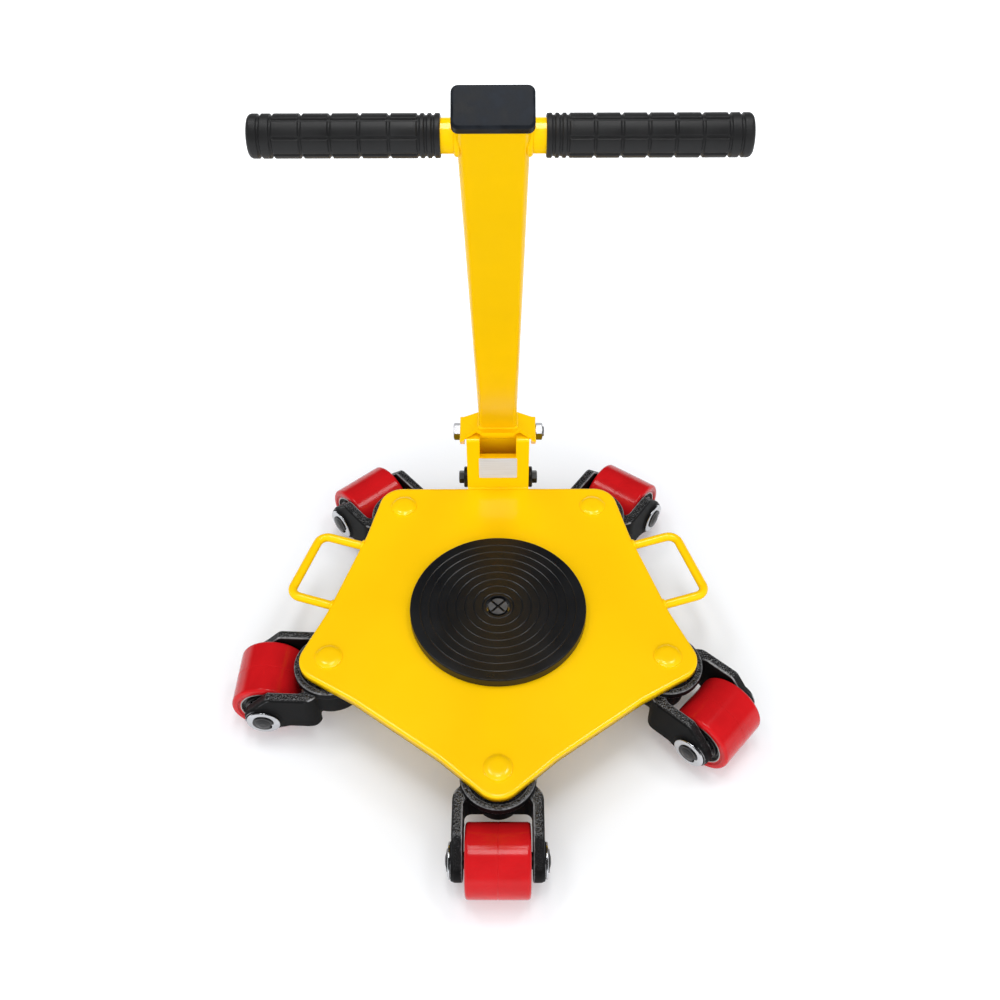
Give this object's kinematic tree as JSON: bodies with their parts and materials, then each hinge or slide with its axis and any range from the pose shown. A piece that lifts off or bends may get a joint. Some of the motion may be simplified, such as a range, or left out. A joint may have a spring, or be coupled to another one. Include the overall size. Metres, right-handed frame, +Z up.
{
  "type": "steerable machine skate",
  "caption": "Pentagonal low-level moving skate on swivel casters with a turning load pad, side carry handles and a tilting T-handle drawbar, for rolling heavy machines.",
  "frame": {"origin": "on the floor, under the load pad's axis", "axes": "+Z up along the load pad's axis, +Y towards the hitch bracket, +X to the right seen from the front caster"},
  "size_m": [0.6758, 0.6592, 0.9582],
  "materials": {
    "yellow_paint": "glossy yellow paint",
    "zinc_steel": "zinc plated",
    "bearing_steel": "ground",
    "black_steel": "black oxide",
    "white_plastic": "plain",
    "black_rubber": "moulded, matt",
    "black_plastic": "moulded",
    "grip_rubber": "moulded, ribbed",
    "cast_black": "black hammered paint",
    "bare_metal": "machined",
    "red_tread": "glossy polyurethane"
  },
  "bodies": {
    "chassis": {"deck_plate": "yellow_paint", "left_carry_handle": "yellow_paint", "right_carry_handle": "yellow_paint", "kingpins": "yellow_paint", "kingpin_nuts": "zinc_steel", "kingpin_washers": "zinc_steel", "thrust_washers": "bearing_steel", "hitch_bracket": "yellow_paint", "hitch_crossbar": "zinc_steel", "hitch_bolts": "black_steel", "hitch_washers": "black_steel", "pivot_sleeve": "zinc_steel", "pad_screw": "black_steel", "pad_screw_washer": "zinc_steel", "pad_screw_nut": "zinc_steel", "slip_ring": "white_plastic"},
    "load_turntable": {"turntable_plate": "bearing_steel", "load_pad": "black_rubber"},
    "drawbar": {"drawbar_yoke": "yellow_paint", "drawbar_post": "yellow_paint", "post_cap": "black_plastic", "left_handle_bar": "yellow_paint", "right_handle_bar": "yellow_paint", "left_grip": "grip_rubber", "right_grip": "grip_rubber", "pivot_bolt": "zinc_steel", "pivot_nut": "zinc_steel", "pivot_washers": "zinc_steel"},
    "front_caster": {"front_fork": "cast_black", "front_axle": "black_steel", "front_axle_hardware": "zinc_steel"},
    "front_wheel": {"front_wheel_hub": "bare_metal", "front_wheel_tread": "red_tread", "front_wheel_bearings": "bearing_steel"},
    "right_caster": {"right_fork": "cast_black", "right_axle": "black_steel", "right_axle_hardware": "zinc_steel"},
    "right_wheel": {"right_wheel_hub": "bare_metal", "right_wheel_tread": "red_tread", "right_wheel_bearings": "bearing_steel"},
    "rear_right_caster": {"rear_right_fork": "cast_black", "rear_right_axle": "black_steel", "rear_right_axle_hardware": "zinc_steel"},
    "rear_right_wheel": {"rear_right_wheel_hub": "bare_metal", "rear_right_wheel_tread": "red_tread", "rear_right_wheel_bearings": "bearing_steel"},
    "rear_left_caster": {"rear_left_fork": "cast_black", "rear_left_axle": "black_steel", "rear_left_axle_hardware": "zinc_steel"},
    "rear_left_wheel": {"rear_left_wheel_hub": "bare_metal", "rear_left_wheel_tread": "red_tread", "rear_left_wheel_bearings": "bearing_steel"},
    "left_caster": {"left_fork": "cast_black", "left_axle": "black_steel", "left_axle_hardware": "zinc_steel"},
    "left_wheel": {"left_wheel_hub": "bare_metal", "left_wheel_tread": "red_tread", "left_wheel_bearings": "bearing_steel"}
  },
  "joints": [
    {"name": "pad_turn", "type": "hinge", "parent": "chassis", "child": "load_turntable", "pos_m": [0, 0, 0.118], "axis": [0, 0, 1], "continuous": true},
    {"name": "drawbar_tilt", "type": "hinge", "parent": "chassis", "child": "drawbar", "pos_m": [0, 0.24603, 0.197], "axis": [-1, 0, 0], "range_deg": [0, 90]},
    {"name": "front_swivel", "type": "hinge", "parent": "chassis", "child": "front_caster", "pos_m": [0, -0.225, 0.06], "axis": [0, 0, 1], "continuous": true},
    {"name": "front_roll", "type": "hinge", "parent": "front_caster", "child": "front_wheel", "pos_m": [-0.00029, -0.3084, 0.044], "axis": [1, -0.0035, 0], "continuous": true},
    {"name": "right_swivel", "type": "hinge", "parent": "chassis", "child": "right_caster", "pos_m": [0.21399, -0.06953, 0.06], "axis": [0, 0, 1], "continuous": true},
    {"name": "right_roll", "type": "hinge", "parent": "right_caster", "child": "right_wheel", "pos_m": [0.27616, -0.12512, 0.044], "axis": [0.6665, 0.7455, 0], "continuous": true},
    {"name": "rear_right_swivel", "type": "hinge", "parent": "chassis", "child": "rear_right_caster", "pos_m": [0.13225, 0.18203, 0.06], "axis": [0, 0, 1], "continuous": true},
    {"name": "rear_right_roll", "type": "hinge", "parent": "rear_right_caster", "child": "rear_right_wheel", "pos_m": [0.18033, 0.25018, 0.044], "axis": [-0.8171, 0.5764, 0], "continuous": true},
    {"name": "rear_left_swivel", "type": "hinge", "parent": "chassis", "child": "rear_left_caster", "pos_m": [-0.13225, 0.18203, 0.06], "axis": [0, 0, 1], "continuous": true},
    {"name": "rear_left_roll", "type": "hinge", "parent": "rear_left_caster", "child": "rear_left_wheel", "pos_m": [-0.18664, 0.24526, 0.044], "axis": [-0.7581, -0.6521, 0], "continuous": true},
    {"name": "left_swivel", "type": "hinge", "parent": "chassis", "child": "left_caster", "pos_m": [-0.21399, -0.06953, 0.06], "axis": [0, 0, 1], "continuous": true},
    {"name": "left_roll", "type": "hinge", "parent": "left_caster", "child": "left_wheel", "pos_m": [-0.29731, -0.06589, 0.044], "axis": [-0.0436, -0.999, 0], "continuous": true}
  ]
}
